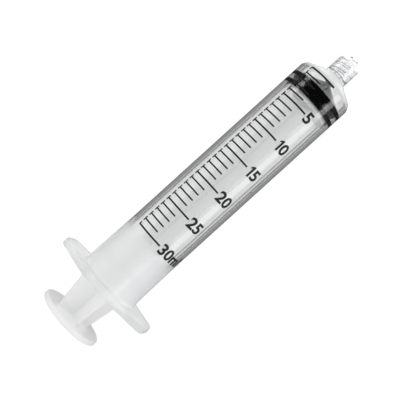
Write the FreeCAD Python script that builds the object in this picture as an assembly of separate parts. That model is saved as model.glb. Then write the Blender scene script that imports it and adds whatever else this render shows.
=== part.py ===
import FreeCAD, Part
import math
import os

from FreeCAD import Vector

# Thirty millilitre syringe with a luer lock end: a clear barrel, a rubber stopper and
# a plunger rod. Millimetres. The origin is on the axis at the end of the nozzle, +X
# points out of the nozzle, the finger flange's wings lie along Y, and +Z is up with
# the syringe lying on the long side of its flange.

# Bore and wall
BORE_RADIUS = 10.8
BARREL_WALL = 1.2
NOMINAL_VOLUME_ML = 30.0
SPARE_BORE_LENGTH = 15.6
REST_VOLUME_ML = 1.26

# Nozzle: the male cone has a 6 percent taper on its diameter
NOZZLE_LENGTH = 8.7
NOZZLE_END_RADIUS = 1.97
NOZZLE_TAPER_ON_RADIUS = 0.03
PASSAGE_RADIUS = 1.05
NOZZLE_EDGE_BEVEL = 0.2

# Collar round the nozzle
NOZZLE_BEYOND_COLLAR = 2.5
COLLAR_BORE_RADIUS = 4.0
COLLAR_WALL = 0.5
COLLAR_FLOOR_DEPTH = 1.2
COLLAR_RIM_BEVEL = 0.15
COLLAR_ROOT_ROUND = 1.2

# Double start thread inside the collar
THREAD_STARTS = 2
THREAD_LEAD = 5.0
THREAD_HEIGHT = 0.5
THREAD_ROOT_WIDTH = 1.3
THREAD_CREST_WIDTH = 0.5
THREAD_RIM_GAP = 0.4
THREAD_ROOT_BITE = 0.15

# Shoulder cone between the collar and the barrel
SHOULDER_HALF_ANGLE = 60.0
SHOULDER_WALL = 1.4
SHOULDER_OUTER_ROUND = 3.0

# Rear of the barrel: slow flare, holding bead, lead-in and finger flange
FLARE_LENGTH = 25.0
FLARE_GROWTH = 0.4
BEAD_HEIGHT = 0.35
BEAD_LENGTH = 2.0
BEAD_SLOPE = 0.7
BEAD_TO_REAR = 10.8
LEAD_IN = 0.4
FLANGE_THICKNESS = 3.0
FLANGE_WING_LENGTH = 9.8
FLANGE_SIDE_LEDGE = 1.8
FLANGE_FLAT_HALF_LENGTH = 8.0
FLANGE_TIP_HALF_BREADTH = 5.5
FLANGE_SIDE_ROUND = 6.0
FLANGE_TIP_ROUND = 4.0
FLANGE_EDGE_BEVEL = 0.5
FLANGE_ROOT_BEVEL = 0.8

# Stopper
STOPPER_CLEARANCE = 0.03
NOSE_CLEARANCE = 0.1
STOPPER_RIB_LENGTH = 1.7
STOPPER_GROOVE_LENGTH = 2.0
STOPPER_GROOVE_DEPTH = 0.9
STOPPER_RIB_BEVEL = 0.4
STOPPER_NOSE_RADIUS = 1.4
STOPPER_NOSE_WALL = 2.4

# Plunger rod: head in the stopper's socket, support disc, crossed vanes, thumb press
HEAD_CLEARANCE = 0.06
HEAD_RADIUS = 6.0
HEAD_NOSE_RADIUS = 1.2
NECK_RADIUS = 4.2
NECK_LENGTH = 1.8
DISC_CLEARANCE = 0.25
DISC_THICKNESS = 1.5
VANE_CLEARANCE = 0.8
VANE_THICKNESS = 1.5
VANE_INNER_ROUND = 0.6
VANE_TAPER_LENGTH = 17.0
VANE_END_RADIUS = 7.3
VANE_TAPER_ROUND = 12.0
VANE_TURN_DEG = 37.6
THUMB_STANDOFF = 11.5
THUMB_RADIUS = 13.05
THUMB_THICKNESS = 2.2
THUMB_BEVEL = 0.6

# Radii that follow from the sizes above
barrel_radius = BORE_RADIUS + BARREL_WALL
collar_radius = COLLAR_BORE_RADIUS + COLLAR_WALL
nozzle_root_radius = NOZZLE_END_RADIUS + NOZZLE_TAPER_ON_RADIUS * NOZZLE_LENGTH
flange_tube_radius = barrel_radius + FLARE_GROWTH
flange_half_span = flange_tube_radius + FLANGE_WING_LENGTH
flange_half_breadth = flange_tube_radius + FLANGE_SIDE_LEDGE
bead_radius = BORE_RADIUS - BEAD_HEIGHT
rib_radius = BORE_RADIUS - STOPPER_CLEARANCE
groove_radius = rib_radius - STOPPER_GROOVE_DEPTH
disc_radius = bead_radius - DISC_CLEARANCE
vane_radius = BORE_RADIUS - VANE_CLEARANCE

# Slope of the shoulder, the stopper's nose and the rod's head: the run along the axis
# per millimetre of radius, and per millimetre of wall
shoulder_angle = math.radians(SHOULDER_HALF_ANGLE)
cone_run = 1.0 / math.tan(shoulder_angle)
cone_shift = 1.0 / math.sin(shoulder_angle)

# Places along the axis, from the nozzle's end towards the thumb
collar_rim_x = -NOZZLE_BEYOND_COLLAR
collar_floor_x = -NOZZLE_LENGTH
thread_length = collar_rim_x - THREAD_RIM_GAP - collar_floor_x
collar_base_x = collar_floor_x - COLLAR_FLOOR_DEPTH
shoulder_corner_x = collar_base_x - (barrel_radius - collar_radius) * cone_run
shoulder_round_end_x = shoulder_corner_x - SHOULDER_OUTER_ROUND * math.tan(shoulder_angle / 2.0)
bore_corner_x = shoulder_corner_x - SHOULDER_WALL * cone_shift + BARREL_WALL * cone_run
bore_point_x = bore_corner_x + (BORE_RADIUS - PASSAGE_RADIUS) * cone_run
zero_mark_x = bore_corner_x - NOSE_CLEARANCE * cone_shift
millilitre_pitch = 1000.0 / (math.pi * BORE_RADIUS ** 2)
last_mark_x = zero_mark_x - NOMINAL_VOLUME_ML * millilitre_pitch
bead_x = last_mark_x - SPARE_BORE_LENGTH
bead_front_x = bead_x + BEAD_LENGTH / 2.0
bead_rear_x = bead_x - BEAD_LENGTH / 2.0
barrel_rear_x = bead_x - BEAD_TO_REAR
flange_front_x = barrel_rear_x + FLANGE_THICKNESS
flare_start_x = flange_front_x + FLARE_LENGTH

rest_draw = REST_VOLUME_ML * millilitre_pitch
stopper_front_x = zero_mark_x - rest_draw
stopper_length = 2.0 * STOPPER_RIB_LENGTH + STOPPER_GROOVE_LENGTH
stopper_rear_x = stopper_front_x - stopper_length
stopper_nose_x = stopper_front_x + (rib_radius - STOPPER_NOSE_RADIUS) * cone_run

neck_rear_x = stopper_rear_x - HEAD_CLEARANCE
head_rear_x = neck_rear_x + NECK_LENGTH
head_cone_x = stopper_front_x + (rib_radius - HEAD_RADIUS) * cone_run - STOPPER_NOSE_WALL * cone_shift
head_nose_x = head_cone_x + (HEAD_RADIUS - HEAD_NOSE_RADIUS) * cone_run
disc_rear_x = neck_rear_x - DISC_THICKNESS
thumb_front_x = barrel_rear_x - THUMB_STANDOFF - rest_draw
thumb_rear_x = thumb_front_x - THUMB_THICKNESS
vane_taper_x = thumb_front_x + VANE_TAPER_LENGTH

AXIS = Vector(1, 0, 0)
CENTRE = Vector(0, 0, 0)


def rounded_wire(corners, place):
    """Closed wire through corners (a, b, rounding radius), each put in space by place."""
    entries = []
    exits = []
    arcs = []
    for index, (a, b, radius) in enumerate(corners):
        here = place(a, b)
        before = place(*corners[index - 1][:2])
        after = place(*corners[(index + 1) % len(corners)][:2])
        if radius == 0.0:
            entries.append(here)
            exits.append(here)
            arcs.append(None)
            continue
        to_before = (before - here).normalize()
        to_after = (after - here).normalize()
        half_angle = to_before.getAngle(to_after) / 2.0
        setback = radius / math.tan(half_angle)
        middle_line = (to_before + to_after).normalize()
        middle = here + middle_line * (radius / math.sin(half_angle) - radius)
        entries.append(here + to_before * setback)
        exits.append(here + to_after * setback)
        arcs.append(Part.Arc(entries[-1], middle, exits[-1]).toShape())
    edges = []
    for index, arc in enumerate(arcs):
        if arc is not None:
            edges.append(arc)
        start = exits[index]
        end = entries[(index + 1) % len(corners)]
        if start.distanceToPoint(end) > 1e-6:
            edges.append(Part.LineSegment(start, end).toShape())
    return Part.Wire(edges)


def turned(corners):
    """Solid of revolution about the X axis from corners (x, radius, rounding radius)."""
    outline = rounded_wire(corners, lambda x, radius: Vector(x, 0, radius))
    return Part.Face(outline).revolve(CENTRE, AXIS, 360)


def prism(corners, start_x, end_x):
    """Solid between two planes across the X axis from corners (y, z, rounding radius)."""
    outline = rounded_wire(corners, lambda y, z: Vector(start_x, y, z))
    return Part.Face(outline).extrude(Vector(end_x - start_x, 0, 0))


def bevelled_rim(front_x, rear_x, radius, bevel):
    """Outline corners across a disc or rib, from its front face to its rear face."""
    return [
        (front_x, radius - bevel, 0.0),
        (front_x - bevel, radius, 0.0),
        (rear_x + bevel, radius, 0.0),
        (rear_x, radius - bevel, 0.0),
    ]


def barrel_outside():
    """Nozzle, collar, shoulder and tube as one turned form that ends inside the flange."""
    flange_middle_x = (barrel_rear_x + flange_front_x) / 2.0
    return turned([
        (0.0, 0.0, 0.0),
        (0.0, NOZZLE_END_RADIUS - NOZZLE_EDGE_BEVEL, 0.0),
        (-NOZZLE_EDGE_BEVEL, NOZZLE_END_RADIUS, 0.0),
        (collar_floor_x, nozzle_root_radius, 0.0),
        (collar_floor_x, COLLAR_BORE_RADIUS, 0.0),
        (collar_rim_x, COLLAR_BORE_RADIUS, 0.0),
        (collar_rim_x, collar_radius - COLLAR_RIM_BEVEL, 0.0),
        (collar_rim_x - COLLAR_RIM_BEVEL, collar_radius, 0.0),
        (collar_base_x, collar_radius, COLLAR_ROOT_ROUND),
        (shoulder_corner_x, barrel_radius, SHOULDER_OUTER_ROUND),
        (flare_start_x, barrel_radius, 0.0),
        (flange_front_x + FLANGE_ROOT_BEVEL, flange_tube_radius, 0.0),
        (flange_front_x, flange_tube_radius + FLANGE_ROOT_BEVEL, 0.0),
        (flange_middle_x, flange_tube_radius + FLANGE_ROOT_BEVEL, 0.0),
        (flange_middle_x, 0.0, 0.0),
    ])


def barrel_bore():
    """The fluid passage, the inner shoulder and the bore with its bead and lead-in."""
    return turned([
        (0.0, 0.0, 0.0),
        (0.0, PASSAGE_RADIUS, 0.0),
        (bore_point_x, PASSAGE_RADIUS, 0.0),
        (bore_corner_x, BORE_RADIUS, 0.0),
        (bead_front_x, BORE_RADIUS, 0.0),
        (bead_front_x - BEAD_SLOPE, bead_radius, 0.0),
        (bead_rear_x + BEAD_SLOPE, bead_radius, 0.0),
        (bead_rear_x, BORE_RADIUS, 0.0),
        (barrel_rear_x + LEAD_IN, BORE_RADIUS, 0.0),
        (barrel_rear_x, BORE_RADIUS + LEAD_IN, 0.0),
        (barrel_rear_x, 0.0, 0.0),
    ])


def finger_flange():
    """Plate with two wings and flat long sides."""
    quarter = [
        (FLANGE_FLAT_HALF_LENGTH, flange_half_breadth, FLANGE_SIDE_ROUND),
        (flange_half_span, FLANGE_TIP_HALF_BREADTH, FLANGE_TIP_ROUND),
    ]
    upper = [(-y, z, rounding) for y, z, rounding in reversed(quarter)] + quarter
    lower = [(-y, -z, rounding) for y, z, rounding in upper]
    blank = prism(upper + lower, barrel_rear_x, flange_front_x)
    rims = [edge for edge in blank.Edges if edge.BoundBox.XLength < 1e-6]
    return blank.makeChamfer(FLANGE_EDGE_BEVEL, rims)


def thread_ridge(turn_deg):
    """One start of the collar's thread, longer than needed at both ends."""
    run_out = THREAD_LEAD / 4.0
    root_radius = COLLAR_BORE_RADIUS + THREAD_ROOT_BITE
    crest_radius = COLLAR_BORE_RADIUS - THREAD_HEIGHT
    helix = Part.makeHelix(THREAD_LEAD, thread_length + 2.0 * run_out, COLLAR_BORE_RADIUS)
    section = Part.makePolygon([
        Vector(root_radius, 0, -THREAD_ROOT_WIDTH / 2.0),
        Vector(crest_radius, 0, -THREAD_CREST_WIDTH / 2.0),
        Vector(crest_radius, 0, THREAD_CREST_WIDTH / 2.0),
        Vector(root_radius, 0, THREAD_ROOT_WIDTH / 2.0),
        Vector(root_radius, 0, -THREAD_ROOT_WIDTH / 2.0),
    ])
    ridge = Part.Wire(helix.Edges).makePipeShell([section], True, True)
    ridge.rotate(CENTRE, Vector(0, 1, 0), 90)
    ridge.rotate(CENTRE, AXIS, turn_deg)
    ridge.translate(Vector(collar_floor_x - run_out, 0, 0))
    return ridge


def collar_thread():
    """All starts of the thread, kept between the collar's floor and a plain rim."""
    room = Part.makeCylinder(collar_radius, thread_length, Vector(collar_floor_x, 0, 0), AXIS)
    return [
        thread_ridge(360.0 * start / THREAD_STARTS).common(room)
        for start in range(THREAD_STARTS)
    ]


def make_barrel():
    outside = barrel_outside().fuse([finger_flange()] + collar_thread())
    return outside.cut(barrel_bore()).removeSplitter()


def make_stopper():
    """Two sealing ribs, a nose that fits the shoulder, and a socket for the rod's head."""
    groove_front_x = stopper_front_x - STOPPER_RIB_LENGTH
    groove_rear_x = groove_front_x - STOPPER_GROOVE_LENGTH
    outer = turned([
        (stopper_nose_x, 0.0, 0.0),
        (stopper_nose_x, STOPPER_NOSE_RADIUS, 0.0),
        (stopper_front_x, rib_radius, 0.0),
        (groove_front_x + STOPPER_RIB_BEVEL, rib_radius, 0.0),
        (groove_front_x, rib_radius - STOPPER_RIB_BEVEL, 0.0),
        (groove_front_x, groove_radius, 0.0),
        (groove_rear_x, groove_radius, 0.0),
        *bevelled_rim(groove_rear_x, stopper_rear_x, rib_radius, STOPPER_RIB_BEVEL),
        (stopper_rear_x, 0.0, 0.0),
    ])
    return outer.cut(rod_head(HEAD_CLEARANCE))


def rod_head(growth):
    """Neck and mushroom head; with growth they are the socket that they turn in."""
    side_corner_x = head_cone_x + growth * (cone_shift - cone_run)
    nose_corner_radius = HEAD_NOSE_RADIUS + growth * (cone_shift - 1.0) / cone_run
    return turned([
        (neck_rear_x, 0.0, 0.0),
        (neck_rear_x, NECK_RADIUS + growth, 0.0),
        (head_rear_x - growth, NECK_RADIUS + growth, 0.0),
        (head_rear_x - growth, HEAD_RADIUS + growth, 0.0),
        (side_corner_x, HEAD_RADIUS + growth, 0.0),
        (head_nose_x + growth, nose_corner_radius, 0.0),
        (head_nose_x + growth, 0.0, 0.0),
    ])


def crossed_vanes():
    """Plus-shaped section along the rod, trimmed to the rod's turned envelope."""
    half = VANE_THICKNESS / 2.0
    corners = []
    for quarter in range(4):
        cosine = round(math.cos(math.radians(90 * quarter)))
        sine = round(math.sin(math.radians(90 * quarter)))
        for y, z, rounding in (
            (BORE_RADIUS, -half, 0.0),
            (BORE_RADIUS, half, 0.0),
            (half, half, VANE_INNER_ROUND),
        ):
            corners.append((y * cosine - z * sine, y * sine + z * cosine, rounding))
    cross = prism(corners, thumb_front_x - THUMB_THICKNESS / 2.0, disc_rear_x + DISC_THICKNESS / 2.0)
    envelope = turned([
        (thumb_rear_x, 0.0, 0.0),
        (thumb_rear_x, VANE_END_RADIUS, 0.0),
        (thumb_front_x, VANE_END_RADIUS, 0.0),
        (vane_taper_x, vane_radius, VANE_TAPER_ROUND),
        (neck_rear_x, vane_radius, 0.0),
        (neck_rear_x, 0.0, 0.0),
    ])
    vanes = cross.common(envelope)
    vanes.rotate(CENTRE, AXIS, VANE_TURN_DEG)
    return vanes


def make_plunger_rod():
    head = rod_head(0.0)
    disc = Part.makeCylinder(disc_radius, DISC_THICKNESS, Vector(disc_rear_x, 0, 0), AXIS)
    thumb_press = turned([
        (thumb_front_x, 0.0, 0.0),
        *bevelled_rim(thumb_front_x, thumb_rear_x, THUMB_RADIUS, THUMB_BEVEL),
        (thumb_rear_x, 0.0, 0.0),
    ])
    return disc.fuse([head, crossed_vanes(), thumb_press]).removeSplitter()


def export(node, shape):
    if not shape.isValid():
        raise RuntimeError(node + " isn't a valid shape")
    if len(shape.Solids) != 1:
        raise RuntimeError("%s has %d solids" % (node, len(shape.Solids)))
    shape.Solids[0].exportStep(os.path.join("parts", node + ".step"))
    box = shape.BoundBox
    print("%-12s %7.1f mm3  x %.2f to %.2f" % (node, shape.Volume, box.XMin, box.XMax))


os.makedirs("parts", exist_ok=True)
export("barrel", make_barrel())
export("stopper", make_stopper())
export("plunger_rod", make_plunger_rod())
print("0 mark at x %.2f, last mark at x %.2f" % (zero_mark_x, last_mark_x))
print("stopper front at rest x %.2f, rear x %.2f" % (stopper_front_x, stopper_rear_x))
print("travel to the shoulder %.2f mm" % rest_draw)
print("travel to the bead %.2f mm" % (stopper_rear_x - bead_front_x))
print("plain round wall from x %.2f to %.2f" % (flare_start_x, shoulder_round_end_x))
print("flange front at x %.2f, thumb face at x %.2f" % (flange_front_x, thumb_rear_x))
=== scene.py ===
# %% [markdown]
# # A thirty millilitre syringe with a lock collar
#
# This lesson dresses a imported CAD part. The CAD gives the sizes and the joints, and this
# script gives the looks: a clear barrel with a printed scale, a black rubber stopper and
# a milky plunger rod. Every finished piece keeps its place in its mesh, in metres, and
# rides on one body of the CAD part.

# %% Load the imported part
import math

import bmesh
import bpy
from mathutils import Matrix, Vector


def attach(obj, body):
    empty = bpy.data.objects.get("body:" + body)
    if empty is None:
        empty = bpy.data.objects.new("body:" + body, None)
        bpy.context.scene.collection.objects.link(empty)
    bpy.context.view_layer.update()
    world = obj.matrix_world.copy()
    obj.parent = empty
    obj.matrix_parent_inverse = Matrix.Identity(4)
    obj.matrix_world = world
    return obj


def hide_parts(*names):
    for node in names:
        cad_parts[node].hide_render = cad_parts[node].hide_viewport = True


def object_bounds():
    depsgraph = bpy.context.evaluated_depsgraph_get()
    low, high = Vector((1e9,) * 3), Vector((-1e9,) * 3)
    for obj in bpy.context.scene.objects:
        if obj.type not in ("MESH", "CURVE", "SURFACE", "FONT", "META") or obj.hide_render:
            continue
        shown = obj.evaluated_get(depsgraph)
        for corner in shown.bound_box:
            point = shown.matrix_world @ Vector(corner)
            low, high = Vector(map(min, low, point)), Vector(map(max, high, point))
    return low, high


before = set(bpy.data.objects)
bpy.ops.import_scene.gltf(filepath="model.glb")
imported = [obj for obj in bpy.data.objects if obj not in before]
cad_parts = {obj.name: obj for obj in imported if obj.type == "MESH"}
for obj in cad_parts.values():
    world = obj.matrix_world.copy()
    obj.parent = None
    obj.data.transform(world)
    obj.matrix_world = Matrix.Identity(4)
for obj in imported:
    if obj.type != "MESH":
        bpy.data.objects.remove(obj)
cad_low, cad_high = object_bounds()
print("CAD nodes:", ", ".join(sorted(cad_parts)))
print("CAD box in mm:", [round(1000 * side, 2) for side in cad_high - cad_low])

# %% [markdown]
# ## Sizes
#
# A moulded syringe is a family of turned forms on one axis, so nearly every size is a
# radius or a place along X. They are the part's own sizes in millimetres, and what fits
# another piece is worked out from them. The nozzle's end is at zero and the thumb is on
# the far left, so places along the axis are negative. The shoulder is a slope, so two
# ratios help: cone_run is how far it goes along the axis for each millimetre of radius,
# and cone_shift is how far it moves along the axis for each millimetre of wall.

# %% Sizes of the moulded pieces, in millimetres
MM = 0.001
BORE_RADIUS = 10.8
BARREL_RADIUS = 12.0
BARREL_WALL = BARREL_RADIUS - BORE_RADIUS
NOZZLE_LENGTH = 8.7
NOZZLE_END_RADIUS = 1.97
NOZZLE_TAPER = 0.06
NOZZLE_ROOT_RADIUS = NOZZLE_END_RADIUS + NOZZLE_TAPER / 2 * NOZZLE_LENGTH
PASSAGE_RADIUS = 1.05
COLLAR_RIM_X = -2.5
COLLAR_BORE_RADIUS = 4.0
COLLAR_RADIUS = 4.5
COLLAR_FLOOR = 1.2
COLLAR_BASE_X = -NOZZLE_LENGTH - COLLAR_FLOOR
THREAD_LEAD = 5.0
THREAD_STARTS = 2
THREAD_HEIGHT = 0.5
THREAD_ROOT_WIDTH = 1.3
THREAD_CREST_WIDTH = 0.5
THREAD_SET_BACK = 0.4
THREAD_FRONT_X = COLLAR_RIM_X - THREAD_SET_BACK
SHOULDER_ANGLE = math.radians(60)
SHOULDER_WALL = 1.4
FLARE_LENGTH = 25.0
FLARE_GROWTH = 0.4
FLANGE_THICKNESS = 3.0
# Corners in one quarter of the flange's outline: aside, up, rounding
FLANGE_CORNERS = ((8.0, 14.2, 6.0), (22.2, 5.5, 4.0))
BEAD_HEIGHT = 0.35
BEAD_RADIUS = BORE_RADIUS - BEAD_HEIGHT
BEAD_TO_REAR = 10.8
SCALE_TO_BEAD = 15.6
SEAT_GAP = 0.1
CAPACITY = 30
REST_VOLUME = 1.26

cone_run = 1 / math.tan(SHOULDER_ANGLE)
cone_shift = 1 / math.sin(SHOULDER_ANGLE)
shoulder_corner_x = COLLAR_BASE_X - (BARREL_RADIUS - COLLAR_RADIUS) * cone_run
bore_corner_x = shoulder_corner_x - SHOULDER_WALL * cone_shift + BARREL_WALL * cone_run
bore_point_x = bore_corner_x + (BORE_RADIUS - PASSAGE_RADIUS) * cone_run
zero_mark_x = bore_corner_x - SEAT_GAP * cone_shift
millilitre = 1000 / (math.pi * BORE_RADIUS**2)
last_mark_x = zero_mark_x - CAPACITY * millilitre
bead_x = last_mark_x - SCALE_TO_BEAD
barrel_rear_x = bead_x - BEAD_TO_REAR
flange_front_x = barrel_rear_x + FLANGE_THICKNESS
flare_start_x = flange_front_x + FLARE_LENGTH
rest_draw = REST_VOLUME * millilitre
stopper_front_x = zero_mark_x - rest_draw
print(f"Marks from x {zero_mark_x:.2f} to {last_mark_x:.2f}, {millilitre:.3f} mm apart")


# %% [markdown]
# ## Turned outlines
#
# On a lathe-like form the whole character is in the outline: long plain runs that meet
# in small rounds. An outline is written as a few corners, each with its rounding. A
# helper puts an arc at each corner, and a second one adds a point near both ends of each
# long run. Those extra rings keep the shading flat on flats, because a smooth normal
# then turns over a short distance only.

# %% Outline helpers
def rounded_line(corners, steps=6):
    """Points (x, radius) through corners (x, radius, rounding), with arcs at the corners."""
    points = []
    for index, (x, radius, rounding) in enumerate(corners):
        here = Vector((x, radius))
        if not rounding:
            points.append(here)
            continue
        to_before = (Vector(corners[index - 1][:2]) - here).normalized()
        to_after = (Vector(corners[index + 1][:2]) - here).normalized()
        half_angle = to_before.angle(to_after) / 2
        centre = here + (to_before + to_after).normalized() * rounding / math.sin(half_angle)
        start = here + to_before * rounding / math.tan(half_angle) - centre
        end = here + to_after * rounding / math.tan(half_angle) - centre
        sweep = math.copysign(math.pi - 2 * half_angle, start.x * end.y - start.y * end.x)
        for step in range(steps + 1):
            points.append(centre + Matrix.Rotation(sweep * step / steps, 2) @ start)
    return points


def with_guards(points, longest=8.0):
    """The same line with a point near each end of its long runs, and none longer than longest."""
    spans = [(b - a).length for a, b in zip(points, points[1:])]
    line = [points[0]]
    for index, (a, b) in enumerate(zip(points, points[1:])):
        run = spans[index]
        near = [spans[i] for i in (index - 1, index + 1) if 0 <= i < len(spans)]
        guard = min(near) if near else run
        stops = []
        if run > 3 * guard:
            stops = [guard, run - guard]
        inner = stops or [0.0, run]
        pieces = math.ceil((inner[-1] - inner[0]) / longest)
        stops += [inner[0] + (inner[-1] - inner[0]) * k / pieces for k in range(1, pieces)]
        line += [a + (b - a) * stop / run for stop in sorted(stops)]
        line.append(b)
    return line


# %% [markdown]
# ## From rings to a closed mesh
#
# A turned piece is a stack of rings. Here a ring is any closed row of points round the
# axis, so one function makes the round barrel, the lozenge of its flange and the cross
# of the rod in one skin, with no joins to hide. Angles are measured from straight up
# towards the near side, where the scale's numbers are.

# %% Ring helpers
ROUND_STEPS = 180


def on_axis(x, radius, angle):
    return Vector((x, -radius * math.sin(angle), radius * math.cos(angle)))


def circle(x, radius, angles):
    """Ring of one radius, or a single point where it closes on the axis."""
    if radius < 1e-6:
        return [Vector((x, 0, 0))]
    return [on_axis(x, radius, angle) for angle in angles]


def skin(name, rings, loop=False):
    """Closed mesh over rings in millimetres. With loop, the last ring joins the first."""
    mesh_data = bmesh.new()
    rows = [[mesh_data.verts.new(point * MM) for point in ring] for ring in rings]
    pairs = list(zip(rows, rows[1:]))
    if loop:
        pairs.append((rows[-1], rows[0]))
    for row, following in pairs:
        count = max(len(row), len(following))
        for k in range(count):
            after = (k + 1) % count
            if len(row) == 1:
                mesh_data.faces.new((row[0], following[after], following[k]))
            elif len(following) == 1:
                mesh_data.faces.new((row[k], row[after], following[0]))
            else:
                mesh_data.faces.new((row[k], row[after], following[after], following[k]))
    bmesh.ops.recalc_face_normals(mesh_data, faces=mesh_data.faces)
    if mesh_data.calc_volume(signed=True) < 0:
        bmesh.ops.reverse_faces(mesh_data, faces=mesh_data.faces)
    volume = mesh_data.calc_volume(signed=True) / MM**3
    mesh = bpy.data.meshes.new(name)
    mesh_data.to_mesh(mesh)
    mesh_data.free()
    mesh.shade_smooth()
    mesh.set_sharp_from_angle(angle=math.radians(33))
    print(f"{name}: {len(mesh.polygons)} faces, {volume:.0f} mm3")
    return mesh


def place(name, mesh, body):
    """Puts a finished mesh in the scene, riding on a CAD body."""
    piece = bpy.data.objects.new(name, mesh)
    bpy.context.scene.collection.objects.link(piece)
    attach(piece, body)
    return piece


# %% [markdown]
# ## Barrel
#
# The real barrel is one clear moulding: nozzle, threaded collar, shoulder, tube and
# finger flange. The skin runs once round its section, out of the nozzle, over the
# outside, round the flange and back through the bore. Glass-like plastic shows every
# inner face, so the barrel must be one closed skin. Adding the flange as a second body
# would show as a ghost inside it. The outlines of its stretches meet on plain faces, a
# little way from the corners.

# %% Barrel outline, outside and inside
ROUND_ANGLES = [math.tau * k / ROUND_STEPS for k in range(ROUND_STEPS)]
FLANGE_EDGE_ROUND = 0.6
COLLAR_FLOOR_ROUND = 0.2
BEAD_HALF_LENGTH = 1.0
BEAD_HALF_TOP = 0.3
LEAD_IN_WIDTH = 0.3
LEAD_IN_LENGTH = 0.5
collar_floor_x = -NOZZLE_LENGTH
thread_rear_x = collar_floor_x + COLLAR_FLOOR_ROUND
nozzle_line = rounded_line([
    (0, PASSAGE_RADIUS, 0),
    (0, NOZZLE_END_RADIUS, 0.25),
    (collar_floor_x, NOZZLE_ROOT_RADIUS, COLLAR_FLOOR_ROUND),
    (collar_floor_x, COLLAR_BORE_RADIUS, COLLAR_FLOOR_ROUND),
    (thread_rear_x, COLLAR_BORE_RADIUS, 0),
])
outside_line = rounded_line([
    (THREAD_FRONT_X, COLLAR_BORE_RADIUS, 0),
    (COLLAR_RIM_X, COLLAR_BORE_RADIUS, 0.12),
    (COLLAR_RIM_X, COLLAR_RADIUS, 0.16),
    (COLLAR_BASE_X, COLLAR_RADIUS, 1.2),
    (shoulder_corner_x, BARREL_RADIUS, 3.0),
    (flare_start_x, BARREL_RADIUS, 60.0),
    (flange_front_x, BARREL_RADIUS + FLARE_GROWTH, 0.8),
    (flange_front_x, BARREL_RADIUS + FLARE_GROWTH + 1.0, 0),
])
inside_line = rounded_line([
    (barrel_rear_x, BORE_RADIUS + 0.9, 0),
    (barrel_rear_x, BORE_RADIUS + LEAD_IN_WIDTH, 0.15),
    (barrel_rear_x + LEAD_IN_LENGTH, BORE_RADIUS, 0.4),
    (bead_x - BEAD_HALF_LENGTH, BORE_RADIUS, 0.3),
    (bead_x - BEAD_HALF_TOP, BEAD_RADIUS, 0.4),
    (bead_x + BEAD_HALF_TOP, BEAD_RADIUS, 0.4),
    (bead_x + BEAD_HALF_LENGTH, BORE_RADIUS, 0.3),
    (bore_corner_x, BORE_RADIUS, 0.4),
    (bore_point_x, PASSAGE_RADIUS, 0.3),
    (0, PASSAGE_RADIUS, 0),
])
print(f"Barrel from x 0 to {barrel_rear_x:.2f}, holding bead at x {bead_x:.2f}")


# %% [markdown]
# The lock thread inside the collar follows a rule: its height depends only on how far a
# point is, along the axis, from the nearest turn of a helix. So the collar's bore is
# laid out as close rings, and each point moves inwards by that height. Two starts and a
# right-handed lead make it the thread that every hub fits.

# %% Thread and flange as rules for a ring's radius
THREAD_RING_STEP = 0.12
THREAD_FADE = 0.3


def thread_height(x, angle):
    pitch = THREAD_LEAD / THREAD_STARTS
    first_turn_x = collar_floor_x - THREAD_LEAD / 4 + THREAD_LEAD * (angle + math.pi) / math.tau
    distance = abs((x - first_turn_x + pitch / 2) % pitch - pitch / 2)
    flank = (THREAD_ROOT_WIDTH - THREAD_CREST_WIDTH) / 2
    share = min(1, max(0, (THREAD_ROOT_WIDTH / 2 - distance) / flank))
    fade = min(1, max(0, (THREAD_FRONT_X - x) / THREAD_FADE))
    return THREAD_HEIGHT * share * fade


def thread_ring(x):
    return [
        on_axis(x, COLLAR_BORE_RADIUS - thread_height(x, angle), angle)
        for angle in ROUND_ANGLES
    ]


def flange_reach(angles):
    """Distance from the axis to the flange's outline at each angle."""
    quarter = list(FLANGE_CORNERS)
    upper = [(-y, z, r) for y, z, r in reversed(quarter)] + quarter
    lower = [(-y, -z, r) for y, z, r in upper]
    around = upper + lower
    before, after = around[-1][:2] + (0,), around[0][:2] + (0,)
    outline = rounded_line([before] + around + [after], steps=16)[1:-1]
    reach = []
    for angle in angles:
        ray = Vector((-math.sin(angle), math.cos(angle)))
        for a, b in zip(outline, outline[1:] + outline[:1]):
            edge = b - a
            across = ray.x * edge.y - ray.y * edge.x
            if abs(across) < 1e-9:
                continue
            along_edge = (a.x * ray.y - a.y * ray.x) / across
            distance = (a.x * edge.y - a.y * edge.x) / across
            if distance > 0 and -1e-9 <= along_edge <= 1 + 1e-9:
                reach.append(distance)
                break
    return reach


# %% Barrel mesh
flange_radii = flange_reach(ROUND_ANGLES)
thread_count = math.ceil((THREAD_FRONT_X - thread_rear_x) / THREAD_RING_STEP)
thread_xs = [
    thread_rear_x + (THREAD_FRONT_X - thread_rear_x) * k / thread_count
    for k in range(1, thread_count)
]
edge_line = rounded_line([
    (flange_front_x, -1.0, 0),
    (flange_front_x, 0, FLANGE_EDGE_ROUND),
    (barrel_rear_x, 0, FLANGE_EDGE_ROUND),
    (barrel_rear_x, -1.0, 0),
])
barrel_rings = [circle(p.x, p.y, ROUND_ANGLES) for p in with_guards(nozzle_line)]
barrel_rings += [thread_ring(x) for x in thread_xs]
barrel_rings += [circle(p.x, p.y, ROUND_ANGLES) for p in with_guards(outside_line)]
barrel_rings += [
    [on_axis(p.x, reach + p.y, angle) for reach, angle in zip(flange_radii, ROUND_ANGLES)]
    for p in edge_line[1:-1]
]
barrel_rings += [circle(p.x, p.y, ROUND_ANGLES) for p in with_guards(inside_line)[:-1]]
barrel_body = place("barrel_body", skin("barrel_body", barrel_rings, loop=True), "barrel")
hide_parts("barrel")

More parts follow.
